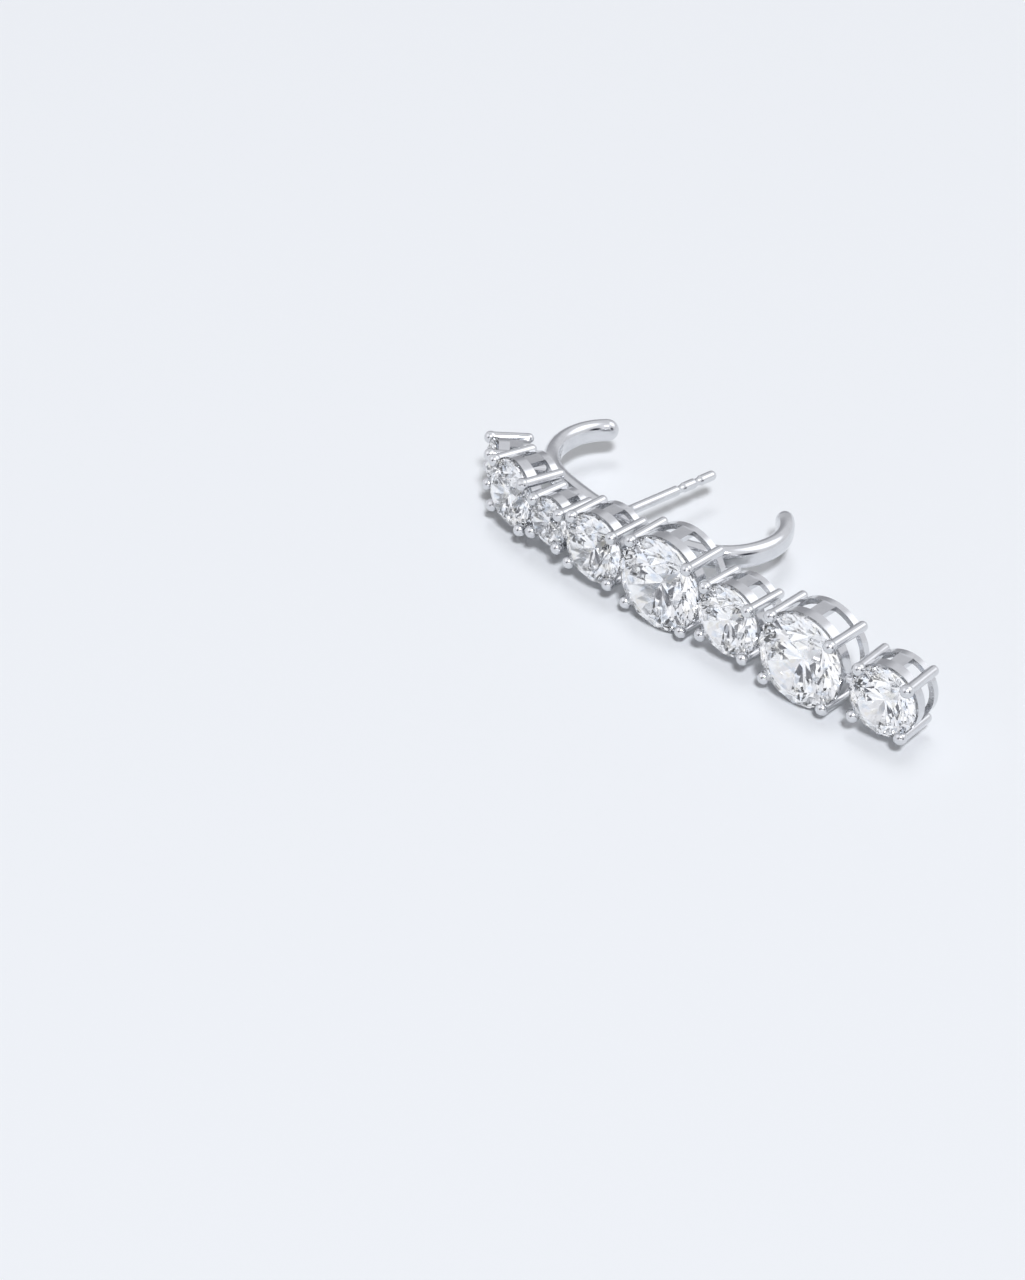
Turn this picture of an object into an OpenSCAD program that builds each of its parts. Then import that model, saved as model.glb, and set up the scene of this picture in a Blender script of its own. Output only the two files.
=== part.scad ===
// Ear climber, millimetres. A row of eight round stones in pierced four-prong heads,
// soldered to an open C-shaped ear hook that carries a notched post.
// Lies on its side: X runs along the row, stones look to -Y, the hook opens to +Y, Z is up.

/* [Stones] */
// Girdle diameter of the stone at the upper end of the row
stone_1_d = 4.2; // [3:0.1:5]
// Girdle diameter of the second stone
stone_2_d = 6.5; // [5:0.1:7]
// Girdle diameter of the third stone
stone_3_d = 4.6; // [3.6:0.1:5.6]
// Girdle diameter of the fourth stone
stone_4_d = 6.5; // [5:0.1:7]
// Girdle diameter of the fifth stone, the largest
stone_5_d = 8.7; // [7.5:0.1:9.5]
// Girdle diameter of the sixth stone
stone_6_d = 6.6; // [5:0.1:7]
// Girdle diameter of the seventh stone
stone_7_d = 8.6; // [7:0.1:9]
// Girdle diameter of the stone at the lower end of the row
stone_8_d = 6.4; // [5:0.1:7]
// Table width as a part of the girdle diameter
table_part = 0.57; // [0.5:0.01:0.64]
// Crown angle in degrees
crown_angle = 34; // [30:0.5:38]
// Pavilion angle in degrees
pavilion_angle = 40.75; // [39:0.25:43]
// Girdle height as a part of the girdle diameter
girdle_part = 0.03; // [0.02:0.005:0.05]

/* [Row] */
// Air between one girdle and the next where the heads touch
head_gap = 0.06; // [0.04:0.01:0.14]
// Air between the first and second girdles
upper_gap = 0.5; // [0.2:0.05:0.9]
// Air between the sixth and seventh girdles
lower_gap_1 = 0.3; // [0.1:0.05:0.8]
// Air between the seventh and eighth girdles
lower_gap_2 = 0.9; // [0.3:0.05:1.2]
// How far the first stone turns back from the straight part of the row, in degrees
turn_1 = 48; // [36:1:52]
// How far the second stone turns back, in degrees
turn_2 = 16; // [10:1:24]
// How far the third stone turns back, in degrees
turn_3 = 6; // [2:1:12]
// How far the fourth stone turns back, in degrees
turn_4 = 2; // [0:1:4]
// How far the sixth stone turns back, in degrees
turn_6 = 2; // [0:1:4]
// How far the lowest stone turns the other way, in degrees
turn_8 = 4; // [0:1:8]

/* [Heads] */
// Prong wire diameter
prong_d = 0.95; // [0.8:0.01:1.05]
// Diameter of the bead at each prong tip
bead_d = 1.2; // [1.1:0.01:1.3]
// Distance from the girdle edge out to the prong centre line
prong_out = 0.15; // [0.1:0.01:0.2]
// How far the bead sits in from the prong centre line
bead_in = 0.06; // [0.02:0.01:0.1]
// Height of the bead centre over the girdle
bead_rise = 0.4; // [0.3:0.02:0.6]
// Depth of a head behind the girdle that does not depend on the stone
head_depth_base = 2.45; // [2:0.05:3]
// Further depth of a head per millimetre of stone diameter
head_depth_part = 0.19; // [0.1:0.01:0.3]
// Depth from the girdle down to the front edge of the gallery band
band_start = 0.35; // [0.25:0.05:0.5]
// Width of the gallery band
band_w = 1.0; // [0.8:0.05:1.3]
// Radial thickness of the gallery band and the base ring
band_t = 0.5; // [0.4:0.05:0.7]
// Height of the base ring at the back of a head
ring_h = 0.65; // [0.5:0.05:0.9]
// How far the base ring stands in from the girdle edge
ring_in = 0.11; // [0.05:0.01:0.2]
// Width of the bar that parts the two upper and the two lower windows
strut_w = 1.3; // [0.9:0.05:1.5]

/* [Ear hook] */
// Width of the hook bar across the profile
bar_w = 2.2; // [1.8:0.1:2.6]
// Thickness of the hook bar in the profile
bar_t = 1.6; // [1.3:0.05:1.8]
// Radius of the long arc at the back of the hook
back_r = 32; // [26:1:40]
// Half angle of the long arc, in degrees
back_half = 13.5; // [12:0.5:15]
// Radius of the shoulder arcs
shoulder_r = 6.4; // [6:0.1:7]
// Radius of the arcs that curl the tips in
tip_r = 5.2; // [4.6:0.1:6]
// Sweep of the upper tip arc, in degrees
tip_sweep_upper = 40; // [30:1:60]
// Sweep of the lower tip arc, in degrees
tip_sweep_lower = 52; // [30:1:60]
// Distance from the row to the middle of the hook back
hook_back_y = 5.3; // [5.2:0.05:5.8]
// Position of the middle of the hook along the row, seen from the fifth stone
hook_mid_x = -9.8; // [-10.4:0.1:-9.2]
// Turn of the hook against the row, in degrees
hook_turn = -3.6; // [-6:0.2:0]
// Diameter of the solder joints
joint_d = 1.1; // [0.8:0.05:1.3]

/* [Post] */
// Post wire diameter
post_d = 0.96; // [0.8:0.02:1.1]
// Free length of the post from the hook bar to its tip
post_len = 11.7; // [10:0.1:13]
// Lean of the post toward the lower end of the row, in degrees
post_lean = 3; // [0:0.5:6]
// Diameter of the flare where the post meets the bar
flare_d = 1.9; // [1.4:0.1:2]
// Height of that flare
flare_h = 1.3; // [0.8:0.1:2]
// Distance of the first groove from the tip
groove_1 = 2.3; // [1.5:0.1:2.8]
// Distance of the second groove from the tip
groove_2 = 4.4; // [3.8:0.1:5.2]
// Depth of the grooves
groove_deep = 0.12; // [0.05:0.01:0.18]
// Length of the grooves
groove_w = 0.9; // [0.5:0.05:1.2]

/* [Fit and rest] */
// Clearance between a stone and the metal round it
seat_clear = 0.04; // [0.02:0.01:0.08]
// Lean of the piece toward its hook as it lies, in degrees
rest_lean = 3.7; // [0:0.1:8]
// Lean of the piece along the row as it lies, in degrees
rest_pitch = 0.2; // [-3:0.1:3]

/* [Hidden] */
$fn = 64;
STONE_N = 8;
MID = 4;
D = [stone_1_d, stone_2_d, stone_3_d, stone_4_d, stone_5_d, stone_6_d, stone_7_d, stone_8_d];
TURN = [turn_1, turn_2, turn_3, turn_4, 0, turn_6, 0, -turn_8];
GAP = [upper_gap, head_gap, head_gap, head_gap, head_gap, lower_gap_1, lower_gap_2];
METAL = [0.8, 0.81, 0.83];
STONE = [0.9, 0.94, 0.97];

// Angle by which one length of hook bar runs into the next, and the step between them
OVERLAP = 1;
HAIR = 0.01;

// How far the window bars stand in from the base ring
STRUT_IN = 0.06;

// Facet counts of a round brilliant
MAINS = 8;
GIRDLE_SIDES = 2 * MAINS;
STEP = 360 / GIRDLE_SIDES;
// Where the star tips and the lower girdle facets end, as parts of the girdle radius
STAR_PART = 0.78;
LOWER_PART = 0.22;

// Centres of the girdles, chained from the middle stone both ways
function pitch(i) = (D[i] + D[i + 1]) / 2 + GAP[i];
function stepv(i) = let (a = -(TURN[i] + TURN[i + 1]) / 2) pitch(i) * [cos(a), sin(a)];
function spot(i) = i == MID ? [0, 0]
    : i > MID ? spot(i - 1) + stepv(i - 1)
    : spot(i + 1) - stepv(i);
function back_of(i) = [sin(TURN[i]), cos(TURN[i])];
function along_of(i) = [cos(TURN[i]), -sin(TURN[i])];
function head_depth(d) = head_depth_base + head_depth_part * d;

// Hook arcs, measured from the middle of its back
shoulder_x = (back_r - shoulder_r) * sin(back_half);
shoulder_y = back_r - (back_r - shoulder_r) * cos(back_half);
tip_x = shoulder_x + shoulder_r - tip_r;
function hook_point(p) = [hook_mid_x, hook_back_y]
    + [p[0] * cos(hook_turn) - p[1] * sin(hook_turn), p[0] * sin(hook_turn) + p[1] * cos(hook_turn)];

// Shift that puts the middle of the bottom of the resting piece at the origin
rest_shift = [-0.78, -7.94, 4.496];

// Lays the piece down as it rests
module rested() {
    translate(rest_shift) rotate([-rest_lean, rest_pitch, 0]) children();
}

// Frame of stone i: +Z of the child looks out of the table, its X runs along the row
module at_stone(i) {
    translate([spot(i)[0], spot(i)[1], 0]) rotate([0, 0, -TURN[i]]) rotate([90, 0, 0]) children();
}

// Frame of the hook: X along the row, Y out of the opening
module at_hook() {
    translate([hook_mid_x, hook_back_y, 0]) rotate([0, 0, hook_turn]) children();
}

// Round brilliant with its girdle plane at z = 0
module brilliant(d) {
    r = d / 2;
    hg = girdle_part * d / 2;
    rt = r * table_part;
    rs = r * STAR_PART;
    rl = r * LOWER_PART;
    tc = tan(crown_angle);
    tp = tan(pavilion_angle);
    zt = hg + (r - rt) * tc;
    zs = hg + (r - rs * cos(STEP)) * tc;
    zc = -hg - r * tp;
    zl = zc + rl * cos(STEP) * tp;
    table_pts = [for (k = [0 : MAINS - 1]) [rt * cos(2 * k * STEP), rt * sin(2 * k * STEP), zt]];
    star_pts = [for (k = [0 : MAINS - 1])
        [rs * cos((2 * k + 1) * STEP), rs * sin((2 * k + 1) * STEP), zs]];
    top_pts = [for (k = [0 : GIRDLE_SIDES - 1]) [r * cos(k * STEP), r * sin(k * STEP), hg]];
    low_pts = [for (k = [0 : GIRDLE_SIDES - 1]) [r * cos(k * STEP), r * sin(k * STEP), -hg]];
    main_pts = [for (k = [0 : MAINS - 1])
        [rl * cos((2 * k + 1) * STEP), rl * sin((2 * k + 1) * STEP), zl]];
    s0 = MAINS;
    g0 = s0 + MAINS;
    b0 = g0 + GIRDLE_SIDES;
    m0 = b0 + GIRDLE_SIDES;
    c0 = m0 + MAINS;
    n = MAINS;
    w = GIRDLE_SIDES;
    polyhedron(
        points = concat(table_pts, star_pts, top_pts, low_pts, main_pts, [[0, 0, zc]]),
        faces = concat(
            [[for (k = [n - 1 : -1 : 0]) k]],
            [for (k = [0 : n - 1]) [k, (k + 1) % n, s0 + k]],
            [for (k = [0 : n - 1]) [k, s0 + k, g0 + 2 * k, s0 + (k + n - 1) % n]],
            [for (k = [0 : n - 1]) [s0 + k, g0 + 2 * k + 1, g0 + 2 * k]],
            [for (k = [0 : n - 1]) [s0 + k, g0 + (2 * k + 2) % w, g0 + 2 * k + 1]],
            [for (k = [0 : w - 1]) [g0 + k, g0 + (k + 1) % w, b0 + (k + 1) % w, b0 + k]],
            [for (k = [0 : n - 1]) [b0 + 2 * k, b0 + 2 * k + 1, m0 + k]],
            [for (k = [0 : n - 1]) [b0 + 2 * k + 1, b0 + (2 * k + 2) % w, m0 + k]],
            [for (k = [0 : n - 1]) [b0 + 2 * k, m0 + k, c0, m0 + (k + n - 1) % n]]));
}

// Room for a stone: its turned outline, grown by the clearance
module seat(d) {
    r = d / 2 + seat_clear;
    hg = girdle_part * d / 2 + seat_clear / 2;
    zt = hg + (r - r * table_part) * tan(crown_angle);
    zc = -hg - r * tan(pavilion_angle);
    rotate_extrude() polygon([[0, zc], [r, -hg], [r, hg], [r * table_part, zt], [0, zt]]);
}

// Ring with its top face at z, h high
module ring(r_out, t, z, h) {
    translate([0, 0, z - h]) difference() {
        cylinder(h = h, r = r_out);
        translate([0, 0, -h]) cylinder(h = 3 * h, r = r_out - t);
    }
}

// Gallery band of one head, girdle plane at z = 0
module band(d) {
    ring(d / 2 + head_gap, band_t, -band_start, band_w);
}

// Base ring of one head
module base_ring(d) {
    ring(d / 2 - ring_in, band_t, -head_depth(d) + ring_h, ring_h);
}

// Prong wire from its round back corner up to z = h
module prong_wire(h) {
    rotate_extrude() {
        square([prong_d / 2, h]);
        intersection() {
            circle(d = prong_d);
            translate([0, -prong_d]) square([prong_d, prong_d]);
        }
    }
}

// Four prongs of one head, each with a bead over the girdle
module prongs(d) {
    rp = d / 2 + prong_out;
    deep = head_depth(d);
    foot = ring_h / 4;
    for (k = [0 : 3]) rotate([0, 0, 45 + 90 * k]) translate([rp, 0, 0]) {
        translate([0, 0, foot - deep]) prong_wire(deep + bead_rise - foot);
        translate([-bead_in, 0, bead_rise]) sphere(d = bead_d);
    }
}

// Bars that part the windows at the top and at the bottom of one head
module struts(d) {
    deep = head_depth(d);
    out = d / 2 - ring_in - STRUT_IN;
    for (s = [-1, 1])
        translate([-strut_w / 2, s * (out - band_t / 2) - band_t / 2, -deep + ring_h / 2])
            cube([strut_w, band_t, deep - band_start - band_w]);
}

// Rod between two points of the profile plane, or at a height over it
module rod(a, b, d) {
    v = b - a;
    translate([a[0], a[1], 0]) rotate([0, 0, atan2(v[1], v[0])]) rotate([0, 90, 0])
        cylinder(h = norm(v), d = d);
}

// Section of the hook bar: a flat bar with full round edges, slim thinner all round
module bar_section(slim = 0) {
    t = bar_t - 2 * slim;
    edge = (bar_w - bar_t) / 2;
    square([t, 2 * edge], center = true);
    for (s = [-1, 1]) translate([0, s * edge]) circle(d = t);
}

// Arc of bar about a centre, from angle a0 over sweep
module bar_arc(c, r, a0, sweep, slim = 0) {
    translate([c[0], c[1], 0]) rotate([0, 0, a0]) rotate_extrude(angle = sweep)
        translate([r, 0]) bar_section(slim);
}

// Round end of the bar, a disc with a full round rim
module bar_end(slim) {
    t = bar_t - 2 * slim;
    edge = (bar_w - bar_t) / 2;
    rotate([0, 90, 0]) rotate_extrude() {
        translate([0, -t / 2]) square([edge, t]);
        intersection() {
            translate([edge, 0]) circle(d = t);
            translate([edge / 2, -bar_w / 2]) square([bar_w, bar_w]);
        }
    }
}

// One half of the hook from the end of the long arc to the tip. Each length of bar starts inside
// the one before it, and the shoulder is a hair fuller than its neighbours.
module hook_side(tip_sweep) {
    bar_arc([shoulder_x, shoulder_y], shoulder_r, back_half - 90 - OVERLAP, 90 - back_half + OVERLAP);
    bar_arc([tip_x, shoulder_y], tip_r, -OVERLAP, tip_sweep + OVERLAP, HAIR);
    translate([tip_x + tip_r * cos(tip_sweep), shoulder_y + tip_r * sin(tip_sweep), 0])
        rotate([0, 0, tip_sweep]) bar_end(2 * HAIR);
}

// Post wire with a flared foot, two round grooves and a round tip
module post() {
    tip_z = bar_t / 2 + post_len - post_d / 2;
    groove_round = (groove_w * groove_w / 4 + groove_deep * groove_deep) / (2 * groove_deep);
    rotate([0, 0, -post_lean]) rotate([-90, 0, 0]) difference() {
        union() {
            cylinder(h = tip_z, d = post_d);
            translate([0, 0, tip_z]) sphere(d = post_d);
            translate([0, 0, bar_t / 4]) cylinder(h = bar_t / 4 + flare_h, d1 = flare_d, d2 = post_d);
        }
        for (g = [groove_1, groove_2])
            translate([0, 0, bar_t / 2 + post_len - g]) rotate_extrude()
                translate([post_d / 2 - groove_deep + groove_round, 0]) circle(r = groove_round);
    }
}

module hook() {
    at_hook() {
        bar_arc([0, back_r], back_r, -90 - back_half, 2 * back_half, HAIR);
        hook_side(tip_sweep_lower);
        mirror([1, 0, 0]) hook_side(tip_sweep_upper);
        post();
    }
}

// Nearest point of a hook arc to a point outside it
function on_arc(p, c, r) = c + r * (p - c) / norm(p - c);
function joint_spot(i) = (spot(i) + back_of(i) * (head_depth(D[i]) - ring_h / 2) + along_of(i) * D[i] / 2
    + spot(i + 1) + back_of(i + 1) * (head_depth(D[i + 1]) - ring_h / 2)
    - along_of(i + 1) * D[i + 1] / 2) / 2;

// Solder between a pair of heads and the hook behind them
module hook_joints() {
    shoulder_c = hook_point([-shoulder_x, shoulder_y]);
    rod(joint_spot(0), on_arc(joint_spot(0), shoulder_c, shoulder_r), joint_d);
    for (i = [1 : 3])
        rod(joint_spot(i), on_arc(joint_spot(i), hook_point([0, back_r]), back_r), joint_d);
}

// Solder between one head and the next, at the band
module head_joints() {
    mid = band_start + band_w / 2;
    inset = band_t / 2;
    for (i = [0 : STONE_N - 2])
        rod(spot(i) + back_of(i) * mid + along_of(i) * (D[i] / 2 - inset),
            spot(i + 1) + back_of(i + 1) * mid - along_of(i + 1) * (D[i + 1] / 2 - inset),
            band_w * 0.8);
}

module climber_frame() {
    color(METAL) rested() difference() {
        union() {
            for (i = [0 : STONE_N - 1]) at_stone(i) band(D[i]);
            for (i = [0 : STONE_N - 1]) at_stone(i) base_ring(D[i]);
            for (i = [0 : STONE_N - 1]) at_stone(i) prongs(D[i]);
            for (i = [0 : STONE_N - 1]) at_stone(i) struts(D[i]);
            hook();
            hook_joints();
            head_joints();
        }
        for (i = [0 : STONE_N - 1]) at_stone(i) seat(D[i]);
    }
}

module stone(i) {
    color(STONE) rested() at_stone(i) brilliant(D[i]);
}
module stone_1() { stone(0); }
module stone_2() { stone(1); }
module stone_3() { stone(2); }
module stone_4() { stone(3); }
module stone_5() { stone(4); }
module stone_6() { stone(5); }
module stone_7() { stone(6); }
module stone_8() { stone(7); }

climber_frame();
stone_1();
stone_2();
stone_3();
stone_4();
stone_5();
stone_6();
stone_7();
stone_8();
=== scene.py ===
import math

import bmesh
import bpy
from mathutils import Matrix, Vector

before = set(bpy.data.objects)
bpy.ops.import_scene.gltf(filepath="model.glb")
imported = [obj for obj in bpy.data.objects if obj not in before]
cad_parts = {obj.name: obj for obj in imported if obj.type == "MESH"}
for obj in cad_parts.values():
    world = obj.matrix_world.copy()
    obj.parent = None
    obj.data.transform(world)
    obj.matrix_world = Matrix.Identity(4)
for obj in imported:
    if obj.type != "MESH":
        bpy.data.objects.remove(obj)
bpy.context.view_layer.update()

MM = 0.001

# Where the camera stands round the piece, in degrees from +X and over the floor, and what it looks at
CAMERA_AZIMUTH = -47.3
CAMERA_HEIGHT = 36.85
CAMERA_DISTANCE = 260.1 * MM
CAMERA_AIM = Vector((-4.60, -22.35, 4.50)) * MM

# Focal length and height of the camera's sensor in mm, and how near and how far it sees, in metres
LENS = 87.2
SENSOR = 36
NEAR = 0.01
FAR = 20

# Pale blue-white of the studio paper, and the backdrop beyond it
PAPER_HEX = "EFF2F6"
BACKDROP_HEX = "EEF1F7"
# Coated paper is matt, with very little shine
PAPER_ROUGHNESS = 0.9
PAPER_SHINE = 0.1
PAPER_RADIUS = 4.0
PAPER_SIDES = 64

# Rhodium plate over brass, a cool white metal, and where fingers and cloth have dulled it
RHODIUM_HEX = "DFE0E2"
RHODIUM_WORN_HEX = "D4D5D8"
# Part of the haze pattern at which the dull tone starts and at which it is full
WORN_FROM = 0.4
WORN_FULL = 0.8
# Roughness of the clean polish and of the haze, and the part of the pattern that they span
POLISH = 0.13
HAZE = 0.22
HAZE_FROM = 0.35
HAZE_FULL = 0.75
# Width of the wheel's swells, of the haze patches and of the hairlines. The hairlines are drawn
# coarser than real ones so that they show
SWELL_WIDTH = 2.0 * MM
HAZE_WIDTH = 1.2 * MM
HAIR_WIDTH = 0.12 * MM
# Hairlines are long in one direction, which is turned off the piece's own axes, in radians
HAIR_STRETCH = (0.18, 1.0, 1.0)
HAIR_TURN = (0.3, 0.5, 0.4)
# Height of the swells and depth of the hairlines, and how strongly each shows
SWELL_RISE = 0.03 * MM
SWELL_STRENGTH = 0.35
HAIR_DEPTH = 0.002 * MM
HAIR_STRENGTH = 0.12

# How strongly cubic zirconia bends light
ZIRCONIA_IOR = 2.16
# Painted fire: faint blue and gold tints painted into the stone's colour in place of the coloured
# flashes of split light, where each lies on the pattern, and the width of the pattern's patches, about
# that of a facet
PAINTED_FIRE_BLUE_HEX = "E2ECFA"
CLEAR_HEX = "FFFFFF"
PAINTED_FIRE_GOLD_HEX = "FCF8EC"
PAINTED_FIRE_BLUE_AT = 0.28
CLEAR_FROM = 0.36
CLEAR_TO = 0.66
PAINTED_FIRE_GOLD_AT = 0.74
PAINTED_FIRE_WIDTH = 0.9 * MM

# The main softbox: its turn from the camera and its height in degrees, distance and size in metres
KEY_TURN = 6
KEY_HEIGHT = 52
KEY_DISTANCE = 6.0
KEY_SIZE = 1.0
KEY_WATTS = 262

# A wide scrim almost overhead, a little behind the piece. It gives the broad soft shade beside the row
TOP_TURN = 180
TOP_HEIGHT = 78
TOP_DISTANCE = 6.0
TOP_SIZE = 2.5
TOP_WATTS = 65

# Both lamps are a little cool and the even light of the room on matt surfaces is a little warm, so
# that shadows come out grey on the bluish paper
LAMP_TINT = (0.958, 0.968, 1.0)
FILL = 0.245
FILL_TINT = (1.0, 0.973, 0.937, 1.0)

# The room as metal and stones mirror it: pale walls, and a little deep blue in its dark corners
WALL_HEX = "F6F7FA"
WALL_GLOW = 0.84
CORNER_HEX = "6870B8"
CORNER_GLOW = 0.05

# Panels and corners by azimuth and height of the middle, the angles inside which they are full and
# outside which they are gone, all in degrees, and their strength. The panels light the hook and the
# gallery bands; the corners give the dark edges of the metal and the dark facets of the stones
BRIGHT_PANELS = (
    (CAMERA_AZIMUTH + 95, 48, 16, 30, 0.9),
    (CAMERA_AZIMUTH - 80, 40, 14, 30, 0.4),
    (CAMERA_AZIMUTH, 8, 10, 40, 0.35))
DARK_CORNERS = (
    (CAMERA_AZIMUTH + 180, 0, 18, 40, 0.5),
    (CAMERA_AZIMUTH, 38, 13, 18, 1.0),
    (CAMERA_AZIMUTH - 42, 20, 11, 15, 1.0),
    (CAMERA_AZIMUTH + 40, 12, 11, 15, 1.0))

# Light is followed through many facets inside a stone, and fewer times from metal to metal. Single
# very bright rays are held back, as they would leave white specks
STONE_BOUNCES = 24
METAL_BOUNCES = 12
BRIGHTEST_RAY = 12


def linear(code):
    """A colour of sRGB hex as the linear numbers that shaders take."""
    parts = [int(code[i:i + 2], 16) / 255 for i in (0, 2, 4)]
    return [c / 12.92 if c <= 0.04045 else ((c + 0.055) / 1.055) ** 2.4 for c in parts] + [1]


def add(tree, kind, values=None, links=None, **settings):
    """Adds a node with its settings, its sockets' values and the sockets that feed it."""
    node = tree.nodes.new(kind)
    for name, value in settings.items():
        setattr(node, name, value)
    for socket, value in (values or {}).items():
        node.inputs[socket].default_value = value
    for socket, source in (links or {}).items():
        tree.links.new(source, node.inputs[socket])
    return node


def new_material(name):
    """A material with an empty node tree, and that tree."""
    material = bpy.data.materials.new(name)
    material.use_nodes = True
    material.node_tree.nodes.clear()
    return material, material.node_tree


def unit(azimuth, height):
    """Direction at an azimuth from +X and a height over the floor, in degrees."""
    a = math.radians(azimuth)
    h = math.radians(height)
    return Vector((math.cos(h) * math.cos(a), math.cos(h) * math.sin(a), math.sin(h)))


def polished_rhodium():
    """Rhodium plate over cast brass, polished by hand on a felt wheel. It mirrors the studio, with
    a slight swell left by the wheel, faint haze where fingers and cloth touched it, and hairlines."""
    material, tree = new_material("polished_rhodium_plate")
    place = add(tree, "ShaderNodeTexCoord")
    swell = add(tree, "ShaderNodeTexNoise", {"Scale": 1 / SWELL_WIDTH, "Detail": 1.0, "Roughness": 0.4},
                {"Vector": place.outputs["Object"]})
    haze = add(tree, "ShaderNodeTexNoise", {"Scale": 1 / HAZE_WIDTH, "Detail": 4.0, "Roughness": 0.6},
               {"Vector": place.outputs["Object"]})
    stretch = add(tree, "ShaderNodeMapping", {"Scale": HAIR_STRETCH, "Rotation": HAIR_TURN},
                  {"Vector": place.outputs["Object"]})
    hairs = add(tree, "ShaderNodeTexNoise", {"Scale": 1 / HAIR_WIDTH, "Detail": 2.0, "Roughness": 0.7},
                {"Vector": stretch.outputs["Vector"]})
    rough = add(tree, "ShaderNodeMapRange",
                {"From Min": HAZE_FROM, "From Max": HAZE_FULL, "To Min": POLISH, "To Max": HAZE},
                {"Value": haze.outputs["Fac"]})
    tint = add(tree, "ShaderNodeValToRGB", None, {"Fac": haze.outputs["Fac"]})
    clean, worn = tint.color_ramp.elements
    clean.color = linear(RHODIUM_HEX)
    clean.position = WORN_FROM
    worn.color = linear(RHODIUM_WORN_HEX)
    worn.position = WORN_FULL
    waves = add(tree, "ShaderNodeBump", {"Strength": SWELL_STRENGTH, "Distance": SWELL_RISE},
                {"Height": swell.outputs["Fac"]})
    lines = add(tree, "ShaderNodeBump", {"Strength": HAIR_STRENGTH, "Distance": HAIR_DEPTH},
                {"Height": hairs.outputs["Fac"], "Normal": waves.outputs["Normal"]})
    metal = add(tree, "ShaderNodeBsdfPrincipled", {"Metallic": 1.0},
                {"Base Color": tint.outputs["Color"], "Roughness": rough.outputs["Result"],
                 "Normal": lines.outputs["Normal"]})
    add(tree, "ShaderNodeOutputMaterial", None, {"Surface": metal.outputs["BSDF"]})
    return material


def cut_zirconia():
    """Cubic zirconia, cut and polished to flat facets. It bends light strongly, so the back facets
    throw it out again at the front as bright and dark patches. The faint blue and gold tints are
    painted fire:
    colour painted into the stone in place of the flashes that a few facets throw where it parts white
    light."""
    material, tree = new_material("cut_cubic_zirconia")
    place = add(tree, "ShaderNodeTexCoord")
    # Painted fire: a noise pattern that tints patches of the clear stone blue and gold in place of
    # dispersed light
    painted_fire = add(tree, "ShaderNodeTexNoise", {"Scale": 1 / PAINTED_FIRE_WIDTH, "Detail": 0.0},
               {"Vector": place.outputs["Object"]})
    tint = add(tree, "ShaderNodeValToRGB", None, {"Fac": painted_fire.outputs["Fac"]})
    ramp = tint.color_ramp
    blue, gold = ramp.elements
    blue.position = PAINTED_FIRE_BLUE_AT
    blue.color = linear(PAINTED_FIRE_BLUE_HEX)
    gold.position = PAINTED_FIRE_GOLD_AT
    gold.color = linear(PAINTED_FIRE_GOLD_HEX)
    for position in (CLEAR_FROM, CLEAR_TO):
        ramp.elements.new(position).color = linear(CLEAR_HEX)
    stone = add(tree, "ShaderNodeBsdfPrincipled",
                {"Roughness": 0.0, "IOR": ZIRCONIA_IOR, "Transmission Weight": 1.0},
                {"Base Color": tint.outputs["Color"]})
    add(tree, "ShaderNodeOutputMaterial", None, {"Surface": stone.outputs["BSDF"]})
    return material


def studio_paper():
    """Matt coated paper, pale blue-white and even."""
    material, tree = new_material("studio_paper")
    paper = add(tree, "ShaderNodeBsdfPrincipled",
                {"Base Color": linear(PAPER_HEX), "Roughness": PAPER_ROUGHNESS,
                 "Specular IOR Level": PAPER_SHINE})
    add(tree, "ShaderNodeOutputMaterial", None, {"Surface": paper.outputs["BSDF"]})
    return material


def dress():
    """Gives every CAD node its finish."""
    metal = polished_rhodium()
    stone = cut_zirconia()
    for name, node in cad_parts.items():
        finish = metal if name == "climber_frame" else stone
        for slot in node.material_slots:
            slot.material = finish


def lay_floor():
    """A wide round sheet of studio paper under the piece."""
    grid = bmesh.new()
    bmesh.ops.create_circle(grid, cap_ends=True, segments=PAPER_SIDES, radius=PAPER_RADIUS)
    mesh = bpy.data.meshes.new("floor")
    grid.to_mesh(mesh)
    grid.free()
    floor = bpy.data.objects.new("floor", mesh)
    bpy.context.scene.collection.objects.link(floor)
    mesh.materials.append(studio_paper())


def softbox(name, azimuth, height, distance, size, watts, mirrored):
    """A round softbox that looks at the piece. One that isn't mirrored lights matt surfaces only."""
    data = bpy.data.lights.new(name, "AREA")
    data.shape = "DISK"
    data.size = size
    data.energy = watts
    data.color = LAMP_TINT
    lamp = bpy.data.objects.new(name, data)
    away = unit(azimuth, height)
    lamp.location = away * distance
    lamp.rotation_euler = away.to_track_quat("Z", "Y").to_euler()
    lamp.visible_camera = False
    lamp.visible_glossy = mirrored
    lamp.visible_transmission = mirrored
    bpy.context.scene.collection.objects.link(lamp)


def patch(tree, way, azimuth, height, inner, outer, strength):
    """A soft round patch of the room, full inside one angle from its middle and gone at the other."""
    near = add(tree, "ShaderNodeVectorMath", {1: unit(azimuth, height)}, {0: way},
               operation="DOT_PRODUCT")
    return add(tree, "ShaderNodeMapRange",
               {"From Min": math.cos(math.radians(outer)), "From Max": math.cos(math.radians(inner)),
                "To Min": 0.0, "To Max": strength},
               {"Value": near.outputs["Value"]}, interpolation_type="SMOOTHSTEP").outputs["Result"]


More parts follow.
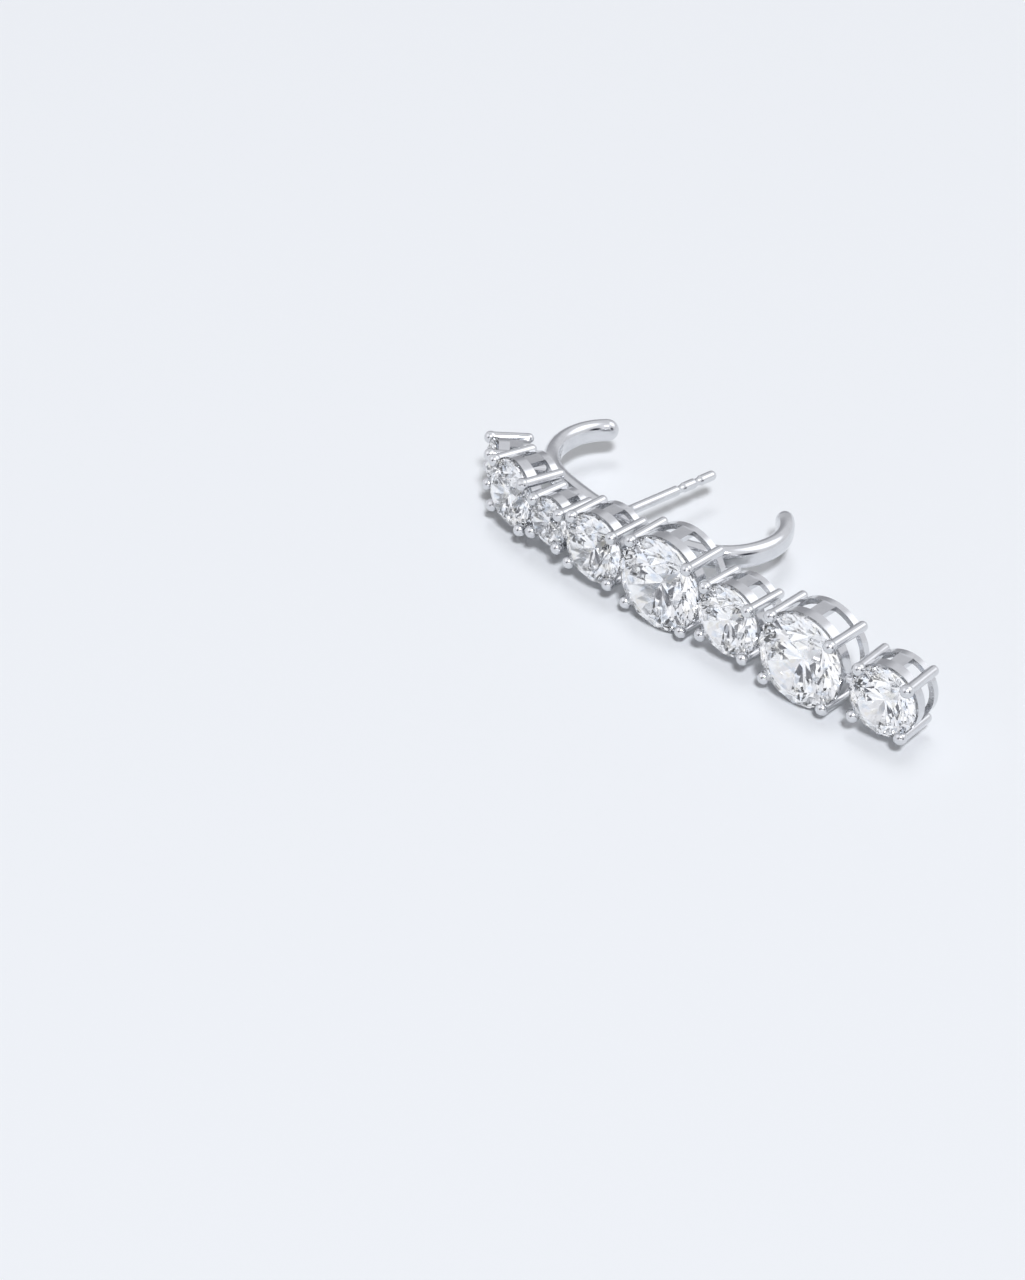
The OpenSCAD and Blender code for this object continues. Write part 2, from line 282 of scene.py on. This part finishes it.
def room():
    """The room round the piece. Metal and stones mirror its pale walls, bright panels and dark corners,
    matt paper gets an even fill, and the camera sees a plain backdrop beyond the paper."""
    world = bpy.data.worlds.new("studio")
    bpy.context.scene.world = world
    world.use_nodes = True
    tree = world.node_tree
    tree.nodes.clear()
    way = add(tree, "ShaderNodeTexCoord").outputs["Generated"]
    glow = add(tree, "ShaderNodeValue").outputs["Value"]
    glow.default_value = WALL_GLOW
    for panel in BRIGHT_PANELS:
        glow = add(tree, "ShaderNodeMath", None, {0: glow, 1: patch(tree, way, *panel)},
                   operation="ADD").outputs["Value"]
    for corner in DARK_CORNERS:
        keep = add(tree, "ShaderNodeMath", {0: 1.0}, {1: patch(tree, way, *corner)},
                   operation="SUBTRACT")
        glow = add(tree, "ShaderNodeMath", None, {0: glow, 1: keep.outputs["Value"]},
                   operation="MULTIPLY").outputs["Value"]

    def light(colour, strength=1.0, links=None):
        values = {"Color": colour, "Strength": strength}
        return add(tree, "ShaderNodeBackground", values, links).outputs["Background"]

    walls = light(linear(WALL_HEX), links={"Strength": glow})
    corners = light(linear(CORNER_HEX), CORNER_GLOW)
    fill = light(FILL_TINT, FILL)
    backdrop = light(linear(BACKDROP_HEX))
    path = add(tree, "ShaderNodeLightPath")
    mirrored = add(tree, "ShaderNodeAddShader", None, {0: walls, 1: corners})
    lit = add(tree, "ShaderNodeMixShader", None,
              {"Fac": path.outputs["Is Diffuse Ray"], 1: mirrored.outputs["Shader"], 2: fill})
    shown = add(tree, "ShaderNodeMixShader", None,
                {"Fac": path.outputs["Is Camera Ray"], 1: lit.outputs["Shader"], 2: backdrop})
    add(tree, "ShaderNodeOutputWorld", None, {"Surface": shown.outputs["Shader"]})


def set_camera():
    """The camera of the photograph, matched to it by the ends of the prongs and of the hook."""
    data = bpy.data.cameras.new("camera")
    data.sensor_fit = "VERTICAL"
    data.sensor_height = SENSOR
    data.lens = LENS
    data.clip_start = NEAR
    data.clip_end = FAR
    camera = bpy.data.objects.new("camera", data)
    away = unit(CAMERA_AZIMUTH, CAMERA_HEIGHT)
    camera.location = CAMERA_AIM + away * CAMERA_DISTANCE
    camera.rotation_euler = away.to_track_quat("Z", "Y").to_euler()
    bpy.context.scene.collection.objects.link(camera)
    bpy.context.scene.camera = camera


def set_film():
    """Plain colours, and enough bounces for light to find its way out of the stones."""
    scene = bpy.context.scene
    scene.view_settings.view_transform = "Standard"
    scene.view_settings.look = "None"
    scene.cycles.max_bounces = STONE_BOUNCES
    scene.cycles.transmission_bounces = STONE_BOUNCES
    scene.cycles.glossy_bounces = METAL_BOUNCES
    scene.cycles.sample_clamp_indirect = BRIGHTEST_RAY


dress()
lay_floor()
softbox("key", CAMERA_AZIMUTH + KEY_TURN, KEY_HEIGHT, KEY_DISTANCE, KEY_SIZE, KEY_WATTS, True)
softbox("top", CAMERA_AZIMUTH + TOP_TURN, TOP_HEIGHT, TOP_DISTANCE, TOP_SIZE, TOP_WATTS, False)
room()
set_camera()
set_film()
